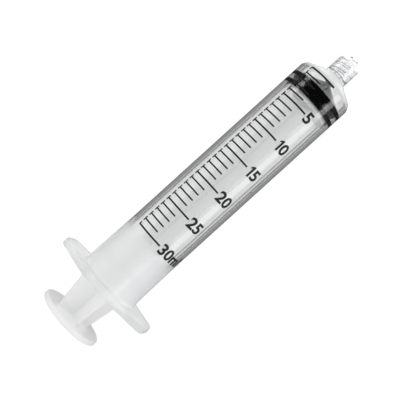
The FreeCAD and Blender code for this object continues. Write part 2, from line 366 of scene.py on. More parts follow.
# %% [markdown]
# ## Stopper
#
# The stopper is a turned piece of soft black rubber. Two ribs seal it, and its nose has
# the shoulder's slope so that nothing is left in the barrel. Rubber is squeezed against
# the wall, so the ribs are drawn a hair wider than the bore. That contact matters to the
# eye: light that would mirror inside the wall meets black rubber instead, and the
# stopper looks as wide as the barrel.

# %% Stopper mesh
RIB_LENGTH = 1.7
GROOVE_LENGTH = 2.0
GROOVE_DEPTH = 0.9
GROOVE_SLOPE = 0.2
RIB_RADIUS = BORE_RADIUS - 0.03
RIB_SQUEEZE = 0.07
NOSE_RADIUS = 1.4
NOSE_WALL = 2.4
SOCKET_ROOM = 0.06
HEAD_RADIUS = 6.0
HEAD_NOSE_RADIUS = 1.2
NECK_RADIUS = 4.2
NECK_LENGTH = 1.8

squeezed_radius = RIB_RADIUS + RIB_SQUEEZE
groove_radius = RIB_RADIUS - GROOVE_DEPTH
groove_front_x = stopper_front_x - RIB_LENGTH
groove_rear_x = groove_front_x - GROOVE_LENGTH
stopper_rear_x = groove_rear_x - RIB_LENGTH
nose_x = stopper_front_x + (RIB_RADIUS - NOSE_RADIUS) * cone_run
neck_rear_x = stopper_rear_x - SOCKET_ROOM
head_rear_x = neck_rear_x + NECK_LENGTH
head_cone_x = (
    stopper_front_x + (RIB_RADIUS - HEAD_RADIUS) * cone_run - NOSE_WALL * cone_shift
)
head_nose_x = head_cone_x + (HEAD_RADIUS - HEAD_NOSE_RADIUS) * cone_run

stopper_line = rounded_line([
    (nose_x, 0, 0),
    (nose_x, NOSE_RADIUS, 0.6),
    (stopper_front_x, squeezed_radius, 0.3),
    (groove_front_x, squeezed_radius, 0.15),
    (groove_front_x - GROOVE_SLOPE, groove_radius, 0.25),
    (groove_rear_x + GROOVE_SLOPE, groove_radius, 0.25),
    (groove_rear_x, squeezed_radius, 0.15),
    (stopper_rear_x, squeezed_radius, 0.15),
    (stopper_rear_x, NECK_RADIUS + SOCKET_ROOM, 0.2),
    (head_rear_x - SOCKET_ROOM, NECK_RADIUS + SOCKET_ROOM, 0.2),
    (head_rear_x - SOCKET_ROOM, HEAD_RADIUS + SOCKET_ROOM, 0.2),
    (head_cone_x, HEAD_RADIUS + SOCKET_ROOM, 0.4),
    (head_nose_x + SOCKET_ROOM, HEAD_NOSE_RADIUS, 0.3),
    (head_nose_x + SOCKET_ROOM, 0, 0),
])
stopper_rings = [circle(p.x, p.y, ROUND_ANGLES) for p in with_guards(stopper_line)]
stopper_rubber = place("stopper_rubber", skin("stopper_rubber", stopper_rings), "stopper")
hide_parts("stopper")

# %% [markdown]
# ## Plunger rod
#
# The rod is one milky moulding: a mushroom head that turns in the stopper's socket, a
# support disc, two crossed vanes and a round thumb press. The rings change from round to
# cross-shaped and back. All of them share one set of angles, taken from the corners of
# the cross, so each point of a circle faces its partner on the vanes.

# %% Ring of the crossed vanes
VANE_THICKNESS = 1.5
VANE_ROOM = 0.8
VANE_REACH = BORE_RADIUS - VANE_ROOM
VANE_TURN = math.radians(37.6)
VANE_EDGE_ROUND = 0.3
VANE_ROOT_ROUND = 0.6
VANE_SIDE_STEPS = 7


def vane_half(reach, thickness):
    """Points (along, across) from a vane's middle line to the corner it shares."""
    half = thickness / 2
    corner = math.sqrt(reach**2 - half**2)
    soft = VANE_EDGE_ROUND
    root = half + VANE_ROOT_ROUND
    tip = math.asin((half - soft) / reach)
    points = [(reach * math.cos(tip * k / 2), reach * math.sin(tip * k / 2)) for k in range(3)]
    points += [(corner - 0.3 * soft, half - 0.3 * soft), (corner - soft, half)]
    first, last = math.atan2(half, corner - soft), math.atan2(half, root)
    for k in range(1, VANE_SIDE_STEPS):
        lean = first + (last - first) * k / VANE_SIDE_STEPS
        points.append((half / math.tan(lean), half))
    for k in range(4):
        turn = -math.pi / 2 - math.pi / 4 * k / 3
        points.append((
            root + VANE_ROOT_ROUND * math.cos(turn),
            root + VANE_ROOT_ROUND * math.sin(turn),
        ))
    return points


def vane_ring(x, reach, thickness=VANE_THICKNESS):
    half = vane_half(reach, thickness)
    quarter = [(a, -b) for a, b in reversed(half[1:-1])] + half
    ring = []
    for k in range(4):
        turn = VANE_TURN + math.pi / 2 * k
        for along, across in quarter:
            lean = turn + math.atan2(across, along)
            ring.append(on_axis(x, math.hypot(along, across), lean))
    return ring


print(f"Points in one ring of the vanes: {len(vane_ring(0, VANE_REACH))}")

# %% Rod mesh
DISC_ROOM = 0.25
DISC_RADIUS = BEAD_RADIUS - DISC_ROOM
DISC_THICKNESS = 1.5
THUMB_RADIUS = 13.05
THUMB_THICKNESS = 2.2
VANE_END_REACH = 7.3
VANE_TAPER_LENGTH = 17.0
VANE_TAPER_ROUND = 12.0
VANE_FOOT_ROUND = 0.4
# Shares of that rounding at a vane's foot: sideways and along the axis
VANE_FOOT = ((1.0, 0.0), (0.45, 0.1), (0.1, 0.45))
THUMB_STANDOFF = 11.5
DIMPLE_RADIUS = 1.5
DIMPLE_FLOOR_RADIUS = 1.2
DIMPLE_DEPTH = 0.25
disc_rear_x = neck_rear_x - DISC_THICKNESS
thumb_front_x = barrel_rear_x - THUMB_STANDOFF - rest_draw
thumb_rear_x = thumb_front_x - THUMB_THICKNESS
rod_angles = [math.atan2(-p.y, p.z) for p in vane_ring(0, VANE_REACH)]

head_line = rounded_line([
    (head_nose_x, 0, 0),
    (head_nose_x, HEAD_NOSE_RADIUS, 0.3),
    (head_cone_x, HEAD_RADIUS, 0.4),
    (head_rear_x, HEAD_RADIUS, 0.25),
    (head_rear_x, NECK_RADIUS, 0.2),
    (neck_rear_x, NECK_RADIUS, 0.2),
    (neck_rear_x, DISC_RADIUS, 0.15),
    (disc_rear_x, DISC_RADIUS, 0.15),
    (disc_rear_x, DISC_RADIUS - 0.16, 0),
])
reach_line = with_guards(rounded_line([
    (disc_rear_x - VANE_FOOT_ROUND, VANE_REACH, 0),
    (thumb_front_x + VANE_TAPER_LENGTH, VANE_REACH, VANE_TAPER_ROUND),
    (thumb_front_x + VANE_FOOT_ROUND, VANE_END_REACH, 0),
]))
thumb_line = rounded_line([
    (thumb_front_x, VANE_END_REACH + 1.0, 0),
    (thumb_front_x, THUMB_RADIUS, 0.7),
    (thumb_rear_x, THUMB_RADIUS, 0.7),
    (thumb_rear_x, DIMPLE_RADIUS, 0.2),
    (thumb_rear_x + DIMPLE_DEPTH, DIMPLE_FLOOR_RADIUS, 0.2),
    (thumb_rear_x + DIMPLE_DEPTH, 0, 0),
])
rod_rings = [circle(p.x, p.y, rod_angles) for p in with_guards(head_line)]
for side, back in VANE_FOOT:
    wide = VANE_THICKNESS + 2 * VANE_FOOT_ROUND * side
    rod_rings.append(vane_ring(disc_rear_x - VANE_FOOT_ROUND * back, VANE_REACH, wide))
rod_rings += [vane_ring(p.x, p.y) for p in reach_line]
for side, back in reversed(VANE_FOOT):
    wide = VANE_THICKNESS + 2 * VANE_FOOT_ROUND * side
    rod_rings.append(vane_ring(thumb_front_x + VANE_FOOT_ROUND * back, VANE_END_REACH, wide))
rod_rings += [circle(p.x, p.y, rod_angles) for p in with_guards(thumb_line)]
rod_body = place("rod_body", skin("rod_body", rod_rings), "plunger")
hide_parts("plunger_rod")

# %% [markdown]
# ## Printed scale
#
# The scale is pad printed: thin black ink on the outside of the wall, with a mark for
# each millilitre, a longer one at every fifth, and a short dash across the start of each
# mark. A row that repeats by a rule is a job for Geometry Nodes. A line of points stands
# for the marks, a box is instanced on each, and one last step bends the whole flat row
# round the barrel. The tree's inputs carry the sizes.

# %% Node helpers
def add_node(tree, kind, inputs=None, **settings):
    """Node with its settings, and its inputs filled by values or linked from sockets."""
    node = tree.nodes.new(kind)
    for name, value in settings.items():
        setattr(node, name, value)
    for key, value in (inputs or {}).items():
        if isinstance(value, bpy.types.NodeSocket):
            tree.links.new(value, node.inputs[key])
        else:
            node.inputs[key].default_value = value
    return node


def add_math(tree, operation, first, second=0.0, third=0.0):
    node = add_node(tree, "ShaderNodeMath", {0: first, 1: second, 2: third}, operation=operation)
    return node.outputs[0]


# %% Scale tree
INDEX_TOLERANCE = 0.1
LONG_MARK_BOLDER = 0.12


def box_row(tree, points, scale):
    """A unit box on each point, sized in place and made real."""
    box = add_node(tree, "GeometryNodeMeshCube", {
        "Size": (1, 1, 1), "Vertices X": 2, "Vertices Y": 20, "Vertices Z": 2,
    })
    rows = add_node(tree, "GeometryNodeInstanceOnPoints", {
        "Points": points, "Instance": box.outputs["Mesh"], "Scale": scale,
    })
    return rows.outputs["Instances"]


def build_scale_tree():
    tree = bpy.data.node_groups.new("printed_scale", "GeometryNodeTree")
    tree.is_modifier = True
    tree.interface.new_socket("Geometry", in_out="OUTPUT", socket_type="NodeSocketGeometry")
    for name, kind in (
        ("Marks", "NodeSocketInt"),
        ("First mark", "NodeSocketFloat"),
        ("Pitch", "NodeSocketFloat"),
        ("Short mark", "NodeSocketFloat"),
        ("Long mark", "NodeSocketFloat"),
        ("Line width", "NodeSocketFloat"),
        ("Dash length", "NodeSocketFloat"),
        ("Dash width", "NodeSocketFloat"),
        ("Ink depth", "NodeSocketFloat"),
        ("Start angle", "NodeSocketFloat"),
        ("Barrel radius", "NodeSocketFloat"),
        ("Flare start", "NodeSocketFloat"),
        ("Flare slope", "NodeSocketFloat"),
        ("Ink", "NodeSocketMaterial"),
    ):
        tree.interface.new_socket(name, in_out="INPUT", socket_type=kind)
    given = add_node(tree, "NodeGroupInput").outputs
    index = add_node(tree, "GeometryNodeInputIndex").outputs[0]

    start = add_node(tree, "ShaderNodeCombineXYZ", {"X": given["First mark"]})
    step = add_node(tree, "ShaderNodeCombineXYZ", {
        "X": add_math(tree, "MULTIPLY", given["Pitch"], -1.0),
    })
    line = add_node(tree, "GeometryNodeMeshLine", {
        "Count": given["Marks"], "Start Location": start.outputs[0], "Offset": step.outputs[0],
    })

    left_over = add_math(tree, "MODULO", index, 5.0)
    fifth = add_math(tree, "COMPARE", left_over, 0.0, INDEX_TOLERANCE)
    extra = add_math(tree, "SUBTRACT", given["Long mark"], given["Short mark"])
    length = add_math(tree, "MULTIPLY_ADD", fifth, extra, given["Short mark"])
    bolder = add_math(tree, "MULTIPLY_ADD", fifth, LONG_MARK_BOLDER, 1.0)
    width = add_math(tree, "MULTIPLY", given["Line width"], bolder)
    mark_size = add_node(tree, "ShaderNodeCombineXYZ", {
        "X": width, "Y": length, "Z": given["Ink depth"],
    })
    half_length = add_node(tree, "ShaderNodeCombineXYZ", {
        "Y": add_math(tree, "MULTIPLY", length, 0.5),
    })
    mark_points = add_node(tree, "GeometryNodeSetPosition", {
        "Geometry": line.outputs["Mesh"], "Offset": half_length.outputs[0],
    })
    marks = box_row(tree, mark_points.outputs[0], mark_size.outputs[0])

    last_index = add_math(tree, "SUBTRACT", given["Marks"], 1.0)
    is_first = add_math(tree, "COMPARE", index, 0.0, INDEX_TOLERANCE)
    is_last = add_math(tree, "COMPARE", index, last_index, INDEX_TOLERANCE)
    at_end = add_math(tree, "ADD", is_first, is_last)
    share = add_math(tree, "MULTIPLY_ADD", at_end, -0.5, 1.0)
    inwards = add_math(tree, "SUBTRACT", is_last, is_first)
    quarter_dash = add_math(tree, "MULTIPLY", given["Dash length"], 0.25)
    dash_shift = add_node(tree, "ShaderNodeCombineXYZ", {
        "X": add_math(tree, "MULTIPLY", inwards, quarter_dash),
    })
    dash_points = add_node(tree, "GeometryNodeSetPosition", {
        "Geometry": line.outputs["Mesh"], "Offset": dash_shift.outputs[0],
    })
    dash_size = add_node(tree, "ShaderNodeCombineXYZ", {
        "X": add_math(tree, "MULTIPLY", given["Dash length"], share),
        "Y": given["Dash width"],
        "Z": given["Ink depth"],
    })
    dashes = box_row(tree, dash_points.outputs[0], dash_size.outputs[0])

    both = add_node(tree, "GeometryNodeJoinGeometry", {"Geometry": marks})
    tree.links.new(dashes, both.inputs["Geometry"])
    flat = add_node(tree, "GeometryNodeRealizeInstances", {"Geometry": both.outputs[0]})

    spot = add_node(tree, "ShaderNodeSeparateXYZ", {
        "Vector": add_node(tree, "GeometryNodeInputPosition").outputs[0],
    }).outputs
    past_flare = add_math(tree, "SUBTRACT", given["Flare start"], spot["X"])
    behind = add_math(tree, "MAXIMUM", past_flare)
    wall = add_math(tree, "MULTIPLY_ADD", behind, given["Flare slope"], given["Barrel radius"])
    radius = add_math(tree, "ADD", wall, spot["Z"])
    arc = add_math(tree, "DIVIDE", spot["Y"], given["Barrel radius"])
    angle = add_math(tree, "ADD", arc, given["Start angle"])
    sine = add_math(tree, "MULTIPLY", add_math(tree, "SINE", angle), -1.0)
    wrapped = add_node(tree, "ShaderNodeCombineXYZ", {
        "X": spot["X"],
        "Y": add_math(tree, "MULTIPLY", radius, sine),
        "Z": add_math(tree, "MULTIPLY", radius, add_math(tree, "COSINE", angle)),
    })
    bent = add_node(tree, "GeometryNodeSetPosition", {
        "Geometry": flat.outputs[0], "Position": wrapped.outputs[0],
    })
    inked = add_node(tree, "GeometryNodeSetMaterial", {
        "Geometry": bent.outputs[0], "Material": given["Ink"],
    })
    add_node(tree, "NodeGroupOutput", {"Geometry": inked.outputs[0]})
    return tree


# %% Scale marks as a plain mesh
SCALE_START = math.radians(-31.3)
SHORT_MARK_END = math.radians(4.2)
LONG_MARK_END = math.radians(23.6)
LINE_WIDTH = 0.57
DASH_LENGTH = 2.0
DASH_WIDTH = 0.55
INK_DEPTH = 0.04
ink = bpy.data.materials.new("scale_ink")


def run_tree(name, tree, values):
    """Evaluates a tree on an empty mesh and gives the result as a plain mesh."""
    carrier = bpy.data.objects.new(name, bpy.data.meshes.new(name))
    bpy.context.scene.collection.objects.link(carrier)
    modifier = carrier.modifiers.new(name, "NODES")
    modifier.node_group = tree
    for socket in tree.interface.items_tree:
        if socket.in_out == "INPUT":
            modifier[socket.identifier] = values[socket.name]
    graph = bpy.context.evaluated_depsgraph_get()
    mesh = bpy.data.meshes.new_from_object(carrier.evaluated_get(graph))
    bpy.data.objects.remove(carrier)
    return mesh


marks_mesh = run_tree("scale_marks", build_scale_tree(), {
    "Marks": CAPACITY + 1,
    "First mark": zero_mark_x * MM,
    "Pitch": millilitre * MM,
    "Short mark": (SHORT_MARK_END - SCALE_START) * BARREL_RADIUS * MM,
    "Long mark": (LONG_MARK_END - SCALE_START) * BARREL_RADIUS * MM,
    "Line width": LINE_WIDTH * MM,
    "Dash length": DASH_LENGTH * MM,
    "Dash width": DASH_WIDTH * MM,
    "Ink depth": INK_DEPTH * MM,
    "Start angle": SCALE_START,
    "Barrel radius": BARREL_RADIUS * MM,
    "Flare start": flare_start_x * MM,
    "Flare slope": FLARE_GROWTH / FLARE_LENGTH,
    "Ink": ink,
})
marks_mesh.name = "scale_marks"
place("scale_marks", marks_mesh, "barrel")
print(f"scale_marks: {len(marks_mesh.polygons)} faces")

# %% [markdown]
# The numbers stand beside every fifth mark, with their tops towards the nozzle. Text is
# flat and its faces are large, so each number is first cut into narrow strips and only
# then wound round the wall. Otherwise the middle of a wide face would sink into it. The
# figure one is drawn as an outline of its own, because a printed scale gives it a longer
# flag than the font does.

# %% Numbers
NUMBER_HEIGHT = 4.55
NUMBER_STRETCH = 1.05
NUMBER_START = math.radians(25.4)
ONE_OUTLINE = (
    (0.5, 0), (0.5, 1), (0.39, 1), (0.17, 0.82), (0.17, 0.66), (0.33, 0.77), (0.33, 0),
)
ONE_ADVANCE = 0.58
STRIP = 0.4
TEXT_HALF_DEPTH = 0.05
TEXT_BOLDNESS = 0.03


def text_mesh(words):
    """Flat text as a mesh in millimetres, its left end at zero and its middle on zero."""
    curve = bpy.data.curves.new("number", "FONT")
    curve.body = words
    curve.size = 1.0
    curve.extrude = TEXT_HALF_DEPTH
    curve.offset = TEXT_BOLDNESS
    curve.resolution_u = 4
    carrier = bpy.data.objects.new("number", curve)
    bpy.context.scene.collection.objects.link(carrier)
    graph = bpy.context.evaluated_depsgraph_get()
    mesh = bpy.data.meshes.new_from_object(carrier.evaluated_get(graph))
    bpy.data.objects.remove(carrier)
    return mesh


digit = text_mesh("0")
digit_low = min(v.co.y for v in digit.vertices)
digit_high = max(v.co.y for v in digit.vertices)
digit_wide = max(v.co.x for v in digit.vertices) - min(v.co.x for v in digit.vertices)
number_scale = NUMBER_HEIGHT / (digit_high - digit_low)
print(f"digit proportion {digit_wide / (digit_high - digit_low):.2f}")


def wall_radius(x):
    return BARREL_RADIUS + max(0, flare_start_x - x) * FLARE_GROWTH / FLARE_LENGTH


def add_one(flat):
    """Puts a figure one with a clear flag before the text, which moves over for it."""
    height = digit_high - digit_low
    bmesh.ops.translate(flat, verts=flat.verts, vec=(ONE_ADVANCE * height, 0, 0))
    walls = []
    for z in (-TEXT_HALF_DEPTH, TEXT_HALF_DEPTH):
        corners = [
            flat.verts.new((x * height, digit_low + y * height, z)) for x, y in ONE_OUTLINE
        ]
        flat.faces.new(corners)
        walls.append(corners)
    for k in range(len(ONE_OUTLINE)):
        after = (k + 1) % len(ONE_OUTLINE)
        flat.faces.new((walls[0][k], walls[0][after], walls[1][after], walls[1][k]))


def wound_number(collector, words, mark_x):
    """Adds a number's mesh to the collector, wound on the wall with its middle at mark_x."""
    flat = bmesh.new()
    flat.from_mesh(text_mesh(words.lstrip("1")))
    bmesh.ops.remove_doubles(flat, verts=flat.verts, dist=1e-5)
    if words.startswith("1"):
        add_one(flat)
    width = max(v.co.x for v in flat.verts) * number_scale
    for k in range(1, int(width / STRIP) + 1):
        cut = Vector((k * STRIP / number_scale, 0, 0))
        whole = flat.verts[:] + flat.edges[:] + flat.faces[:]
        bmesh.ops.bisect_plane(flat, geom=whole, plane_co=cut, plane_no=(1, 0, 0))
    for v in flat.verts:
        x = mark_x + (v.co.y - (digit_low + digit_high) / 2) * number_scale
        angle = NUMBER_START + v.co.x * number_scale * NUMBER_STRETCH / BARREL_RADIUS
        lift = math.copysign(INK_DEPTH / 2, v.co.z)
        v.co = on_axis(x, wall_radius(x) + lift, angle) * MM
    wound = bpy.data.meshes.new("wound")
    bmesh.ops.recalc_face_normals(flat, faces=flat.faces)
    flat.to_mesh(wound)
    flat.free()
    collector.from_mesh(wound)


all_numbers = bmesh.new()
for volume in range(5, CAPACITY + 1, 5):
    words = f"{volume}ml" if volume == CAPACITY else str(volume)
    wound_number(all_numbers, words, zero_mark_x - volume * millilitre)
numbers_mesh = bpy.data.meshes.new("scale_numbers")
all_numbers.to_mesh(numbers_mesh)
all_numbers.free()
place("scale_numbers", numbers_mesh, "barrel")
print(f"scale_numbers: {len(numbers_mesh.polygons)} faces")

# %% [markdown]
# ## Finishes
#
# Four materials dress the syringe. Patterns read Object coordinates, which here are the
# part's own metres, so nothing slides or scales when a body moves. What more than one
# material uses is a node group: a faint waviness, such as every moulding has from its
# mould, and a soft change of finish along the axis.

# %% Shared node groups
def moulded_surface_group():
    """Slow waviness plus fine grain, as one height, and the grain alone as a mask."""
    group = bpy.data.node_groups.new("moulded_surface", "ShaderNodeTree")
    sockets = group.interface
    sockets.new_socket("Waviness", in_out="INPUT", socket_type="NodeSocketFloat")
    sockets.new_socket("Grain", in_out="INPUT", socket_type="NodeSocketFloat")
    sockets.new_socket("Height", in_out="OUTPUT", socket_type="NodeSocketFloat")
    sockets.new_socket("Mask", in_out="OUTPUT", socket_type="NodeSocketFloat")
    given = add_node(group, "NodeGroupInput").outputs
    place_of = add_node(group, "ShaderNodeTexCoord").outputs["Object"]
    stretched = add_node(group, "ShaderNodeMapping", {
        "Vector": place_of, "Scale": (60.0, 300.0, 300.0),
    })
    waves = add_node(group, "ShaderNodeTexNoise", {
        "Vector": stretched.outputs[0], "Scale": 1.0, "Detail": 2.0,
    })
    grains = add_node(group, "ShaderNodeTexNoise", {
        "Vector": place_of, "Scale": 3500.0, "Detail": 2.0,
    })
    slow = add_math(group, "MULTIPLY", waves.outputs[0], given["Waviness"])
    height = add_math(group, "MULTIPLY_ADD", grains.outputs[0], given["Grain"], slow)
    add_node(group, "NodeGroupOutput", {"Height": height, "Mask": grains.outputs[0]})
    return group


def soft_step(tree, value, start, end, low=0.0, high=1.0):
    """Goes from low at start to high at end, with a gentle beginning and end."""
    step = add_node(tree, "ShaderNodeMapRange", {
        "Value": value, "From Min": start, "From Max": end, "To Min": low, "To Max": high,
    }, interpolation_type="SMOOTHSTEP")
    return step.outputs[0]


def along_axis_group():
    """A mask that is 1 behind a place on the axis and 0 ahead of it, with a soft, uneven edge."""
    group = bpy.data.node_groups.new("along_axis", "ShaderNodeTree")
    sockets = group.interface
    sockets.new_socket("Place", in_out="INPUT", socket_type="NodeSocketFloat")
    sockets.new_socket("Softness", in_out="INPUT", socket_type="NodeSocketFloat")
    sockets.new_socket("Mask", in_out="OUTPUT", socket_type="NodeSocketFloat")
    given = add_node(group, "NodeGroupInput").outputs
    place_of = add_node(group, "ShaderNodeTexCoord").outputs["Object"]
    along = add_node(group, "ShaderNodeSeparateXYZ", {"Vector": place_of}).outputs["X"]
    blur = add_node(group, "ShaderNodeTexNoise", {"Vector": place_of, "Scale": 250.0})
    jitter = add_math(group, "MULTIPLY_ADD", blur.outputs[0], given["Softness"], along)
    ahead = add_math(group, "ADD", given["Place"], given["Softness"])
    mask = soft_step(group, jitter, ahead, given["Place"])
    add_node(group, "NodeGroupOutput", {"Mask": mask})
    return group


moulded_surface = moulded_surface_group()
along_axis = along_axis_group()


def new_material(name):
    material = bpy.data.materials.get(name) or bpy.data.materials.new(name)
    material.use_nodes = True
    material.node_tree.nodes.clear()
    return material, material.node_tree


def dress(mesh, material):
    """Gives a finished mesh its one material."""
    mesh.materials.append(material)
    print(f"{mesh.name}: {material.name}, {len(material.node_tree.nodes)} nodes")


def mix_colours(tree, factor, first, second):
    mix = add_node(tree, "ShaderNodeMix", {
        "Factor": factor, "A": first, "B": second,
    }, data_type="RGBA")
    return mix.outputs["Result"]


def surface_bump(tree, waviness, grain, distance):
    """Bump from the moulded surface, and the group's grain mask."""
    surface = add_node(tree, "ShaderNodeGroup", node_tree=moulded_surface)
    surface.inputs["Waviness"].default_value = waviness
    surface.inputs["Grain"].default_value = grain
    bump = add_node(tree, "ShaderNodeBump", {
        "Height": surface.outputs["Height"], "Strength": 1.0, "Distance": distance,
    })
    return bump.outputs[0], surface.outputs["Mask"]


def mask_behind(tree, place_x, softness):
    mask = add_node(tree, "ShaderNodeGroup", node_tree=along_axis)
    mask.inputs["Place"].default_value = place_x
    mask.inputs["Softness"].default_value = softness
    return mask.outputs["Mask"]


# %% [markdown]
# ** Clear plastic.** The barrel is clear enough to read a dose through. A wall of clear
# plastic shows best as glass: light bends in it. Towards the sides of the tube the
# glass's base colour is darkened by Facing, a painted shade that leaves a grey band
# about as wide as the wall, with a lighter painted rim at the very edge. The shoulder is
# thicker and a little hazy, the collar less so, and behind the last mark the mould is
# frosted, so the plastic there scatters what is behind it. One mask along the axis gives
# each of these places its own roughness. Lamps reach the pieces inside through a Light
# Path switch, which keeps the shadows soft and clean.

# %% Clear plastic
CLEAR_TINT = (0.97, 0.975, 0.98, 1)
OPEN_TINT = (0.985, 0.985, 0.985, 1)
# Painted shade towards the tube's sides, and a lighter painted rim at its very edge
PAINTED_EDGE_SHADE = (0.22, 0.22, 0.225, 1)
PAINTED_RIM_SHADE = (0.85, 0.85, 0.855, 1)
# The painted grey band starts at this share of the tube's half width, as Facing sees it
BAND_AT = 0.815
EDGE_BAND_START = 1 - math.sqrt(1 - BAND_AT**2)
BAND_BLUR = 0.03
RIM_START = EDGE_BAND_START + 0.07
RIM_END = EDGE_BAND_START + 0.15
# Share of the painted edge shade that the collar gets
COLLAR_BAND = 0.3
FROST_X = (last_mark_x - 2.5) * MM
FROST_SOFTNESS = 5.0 * MM
SHOULDER_X = (shoulder_corner_x - 1.2) * MM
COLLAR_X = COLLAR_BASE_X * MM
FINISH_SOFTNESS = 0.6 * MM
CLEAR_HAZE = 0.035
TIP_HAZE = 0.38
COLLAR_HAZE = 0.2
FROST_HAZE = 0.5
PLASTIC_IOR = 1.49


def clear_plastic():
    material, tree = new_material("clear_plastic")
    bump, _ = surface_bump(tree, waviness=0.15, grain=0.006, distance=0.00002)
    frost = mask_behind(tree, FROST_X, FROST_SOFTNESS)
    tube = mask_behind(tree, SHOULDER_X, FINISH_SOFTNESS)
    tip = add_math(tree, "SUBTRACT", 1.0, tube)
    collar = add_math(tree, "SUBTRACT", 1.0, mask_behind(tree, COLLAR_X, FINISH_SOFTNESS))
    # Painted shade: Facing darkens the base colour towards the sides, on the tube, less on the
    # collar, not where frosted
    facing = add_node(tree, "ShaderNodeLayerWeight", {"Blend": 0.5}).outputs["Facing"]
    band = soft_step(tree, facing, EDGE_BAND_START - BAND_BLUR, EDGE_BAND_START + BAND_BLUR)
    rim = soft_step(tree, facing, RIM_START, RIM_END)
    painted_edge_colour = mix_colours(tree, rim, PAINTED_EDGE_SHADE, PAINTED_RIM_SHADE)
    unfrosted = add_math(tree, "SUBTRACT", 1.0, frost)
    collar_share = add_math(tree, "MULTIPLY", collar, COLLAR_BAND)
    painted_edge_share = add_math(tree, "MULTIPLY", band, add_math(tree, "MAXIMUM", tube, collar_share))
    clear_tint_and_painted_shade = mix_colours(tree, add_math(tree, "MULTIPLY", painted_edge_share, unfrosted), CLEAR_TINT, painted_edge_colour)
    shoulder_haze = add_math(tree, "MULTIPLY_ADD", tip, TIP_HAZE, CLEAR_HAZE)
    haze = add_math(tree, "MULTIPLY_ADD", collar, COLLAR_HAZE - TIP_HAZE, shoulder_haze)
    rough = add_math(tree, "MULTIPLY_ADD", frost, FROST_HAZE, haze)
    plastic = add_node(tree, "ShaderNodeBsdfPrincipled", {
        "Base Color": clear_tint_and_painted_shade, "Roughness": rough, "IOR": PLASTIC_IOR,
        "Transmission Weight": 1.0, "Normal": bump,
    })
    open_wall = add_node(tree, "ShaderNodeBsdfTransparent", {"Color": OPEN_TINT})
    path = add_node(tree, "ShaderNodeLightPath").outputs
    lamp_ray = add_math(tree, "MAXIMUM", path["Is Shadow Ray"], path["Is Diffuse Ray"])
    mixed = add_node(tree, "ShaderNodeMixShader", {
        "Fac": lamp_ray, 1: plastic.outputs[0], 2: open_wall.outputs[0],
    })
    add_node(tree, "ShaderNodeOutputMaterial", {"Surface": mixed.outputs[0]})
    return material


dress(barrel_body.data, clear_plastic())

# %% [markdown]
# **Milky plastic.** The rod's plastic is cloudy: light enters it, scatters and comes out
# a few millimetres away, which fills its shadows. Subsurface light does that. The grain
# of the mould shows as a faint change in roughness.

# %% Milky plastic
CLOUD_DARK = (0.97, 0.975, 0.977, 1)
CLOUD_LIGHT = (0.99, 0.993, 0.994, 1)
ROD_ROUGHNESS = 0.26
ROD_GRAIN_ROUGHNESS = 0.14
SCATTER_DEPTH = 0.008


def milky_plastic():
    material, tree = new_material("milky_plastic")
    bump, grain = surface_bump(tree, waviness=1.0, grain=0.12, distance=0.00003)
    rough = add_math(tree, "MULTIPLY_ADD", grain, ROD_GRAIN_ROUGHNESS, ROD_ROUGHNESS)
    clouds = add_node(tree, "ShaderNodeTexNoise", {
        "Vector": add_node(tree, "ShaderNodeTexCoord").outputs["Object"],
        "Scale": 120.0, "Detail": 3.0,
    })
    colour = mix_colours(tree, clouds.outputs[0], CLOUD_DARK, CLOUD_LIGHT)
    plastic = add_node(tree, "ShaderNodeBsdfPrincipled", {
        "Base Color": colour, "Roughness": rough, "IOR": PLASTIC_IOR, "Normal": bump,
        "Subsurface Weight": 1.0, "Subsurface Radius": (1.0, 1.0, 1.0),
        "Subsurface Scale": SCATTER_DEPTH,
    })
    add_node(tree, "ShaderNodeOutputMaterial", {"Surface": plastic.outputs[0]})
    return material


dress(rod_body.data, milky_plastic())

# %% [markdown]
# **Black rubber and ink.** The rubber carries a film of silicone oil, so it is deep
# black with a soft sheen. The ink is matt, and where it was pressed on it is a little
# uneven.

# %% Black rubber and scale ink
RUBBER_BLACK = (0.001, 0.001, 0.0011, 1)
RUBBER_ROUGHNESS = 0.09
RUBBER_GRAIN_ROUGHNESS = 0.08
INK_DARK = (0.002, 0.002, 0.0025, 1)
INK_THIN = (0.02, 0.02, 0.022, 1)


def black_rubber():
    material, tree = new_material("black_rubber")
    bump, grain = surface_bump(tree, waviness=0.4, grain=0.15, distance=0.00003)
    rough = add_math(tree, "MULTIPLY_ADD", grain, RUBBER_GRAIN_ROUGHNESS, RUBBER_ROUGHNESS)
    rubber = add_node(tree, "ShaderNodeBsdfPrincipled", {
        "Base Color": RUBBER_BLACK, "Roughness": rough, "IOR": 1.5, "Normal": bump,
    })
    add_node(tree, "ShaderNodeOutputMaterial", {"Surface": rubber.outputs[0]})
    return material


def scale_ink():
    material, tree = new_material("scale_ink")
    bump, grain = surface_bump(tree, waviness=0.2, grain=0.5, distance=0.00001)
    tone = mix_colours(tree, grain, INK_DARK, INK_THIN)
    paint = add_node(tree, "ShaderNodeBsdfPrincipled", {
        "Base Color": tone, "Roughness": 0.55, "Normal": bump,
    })
    add_node(tree, "ShaderNodeOutputMaterial", {"Surface": paint.outputs[0]})
    return material


dress(stopper_rubber.data, black_rubber())
dress(numbers_mesh, scale_ink())

# %% [markdown]
# ## Studio
#
# A clear object is lit by what surrounds it. Here a white floor shows through the
# barrel. A long soft lamp on the near side draws a stripe along the tube, a small one on
# the far side puts a window on the stopper, and a wide faint one fills the far side behind
# it. The room above is dim for reflections, so the black rubber stays black. The floor
# has a grey wedge on each side of the tube, seen only by light that was mirrored inside
# the plastic: painted shade that greys the tube's inner walls towards its sides.
# A white card before the nozzle lights the shoulder, which faces that way.

# %% Floor and room
FLOOR_GAP = 0.00005
FLOOR_Z = cad_low.z - FLOOR_GAP
HALF_FLOOR = 3.0
PAPER_WHITE = (0.9, 0.9, 0.9, 1)
SHADE_PAPER = (0.4, 0.4, 0.4, 1)
SHOWN_GLOW = 0.74
FLOOR_IN_GLOSS = 0.05
# Grey of the painted shade wedges, seen only by light mirrored inside the plastic
PAINTED_WEDGE_SHADE = 0.36
